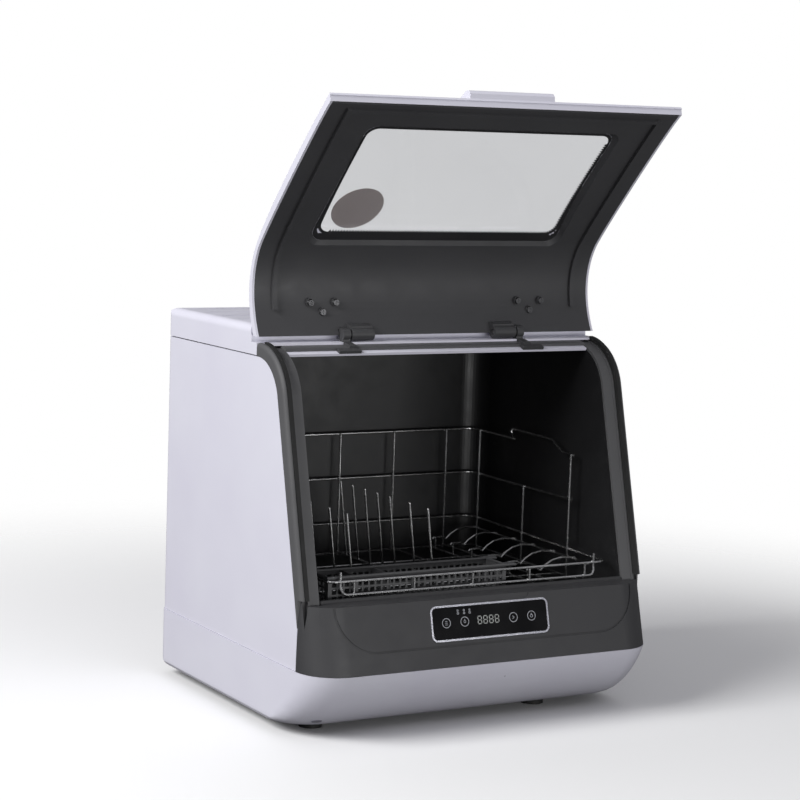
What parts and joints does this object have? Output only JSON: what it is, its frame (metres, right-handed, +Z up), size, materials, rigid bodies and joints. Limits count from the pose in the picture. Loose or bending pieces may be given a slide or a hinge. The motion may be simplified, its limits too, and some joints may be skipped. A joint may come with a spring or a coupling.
{
  "type": "countertop dishwasher",
  "caption": "Compact countertop dishwasher with a curved flip-up lid, wire dish basket, cutlery tray, spray arm and a sloped touch control panel.",
  "frame": {"origin": "on the floor under the middle of the whole part's bounding box, lid open", "axes": "+Z up, -Y towards the front with the opening and the controls, +X to the right as seen from the front"},
  "size_m": [0.42, 0.38, 0.661],
  "materials": {
    "white_shell": "smooth white moulded plastic, faintly lilac",
    "dark_plastic": "fine-grained charcoal plastic",
    "tub_plastic": "dark satin plastic of the inner tub",
    "black_rubber": "soft black rubber",
    "steel": "plain steel",
    "steel_mesh": "perforated steel sheet",
    "basket_wire": "bright drawn wire with a dark coat",
    "tray_plastic": "dark moulded basketwork",
    "silver_trim": "bright plated rim",
    "black_glass": "glossy black acrylic",
    "display": "pale lit segments",
    "window_glass": "clear pane with a light smoke tint",
    "pump_body": "moulded pump housing",
    "circuit_board": "green laminate",
    "valve_plastic": "off-white engineering plastic"
  },
  "bodies": {
    "cabinet": {"base_tray": "white_shell", "feet": "black_rubber", "side_housing": "white_shell", "top_cover": "white_shell", "front_frame": "dark_plastic", "door_gasket": "black_rubber", "top_seal_strip": "white_shell", "hinge_brackets": "dark_plastic", "hinge_pins": "steel", "front_panel": "dark_plastic", "control_bezel": "silver_trim", "control_glass": "black_glass", "display_digits": "display", "tub": "tub_plastic", "basket_rests": "tub_plastic", "sump": "dark_plastic", "filter_plate": "steel_mesh", "wash_pump": "pump_body", "drain_pump": "pump_body", "heater_ring": "steel", "inlet_valve": "valve_plastic", "control_board": "circuit_board", "service_panel": "dark_plastic", "inlet_connector": "valve_plastic", "drain_spigot": "dark_plastic", "cable_gland": "black_rubber"},
    "lid": {"lid_shell": "white_shell", "lid_liner": "dark_plastic", "lid_window": "window_glass", "lid_handle": "white_shell", "lid_knuckles": "dark_plastic", "lid_screws": "steel"},
    "basket": {"basket_floor": "basket_wire", "basket_back": "basket_wire", "basket_right": "basket_wire", "basket_left": "basket_wire", "basket_front": "basket_wire", "plate_rack": "basket_wire", "cup_rack": "basket_wire"},
    "tray": {"cutlery_tray": "tray_plastic"},
    "arm": {"spray_arm": "pump_body"},
    "filter": {"lint_filter": "steel_mesh"}
  },
  "joints": [
    {"name": "lid_hinge", "type": "hinge", "parent": "cabinet", "child": "lid", "pos_m": [0, -0.041, 0.4043], "axis": [1, 0, 0], "range_deg": [0, 125]},
    {"name": "basket_lift", "type": "slide", "parent": "cabinet", "child": "basket", "axis": [0, 0, 1], "range_m": [0, 0.06]},
    {"name": "tray_lift", "type": "slide", "parent": "basket", "child": "tray", "axis": [0, 0, 1], "range_m": [0, 0.03]},
    {"name": "arm_spin", "type": "hinge", "parent": "cabinet", "child": "arm", "pos_m": [0, 0.005, 0.115], "axis": [0, 0, 1], "continuous": true},
    {"name": "filter_lift", "type": "slide", "parent": "cabinet", "child": "filter", "axis": [0, 0, 1], "range_m": [0, 0.018]}
  ]
}
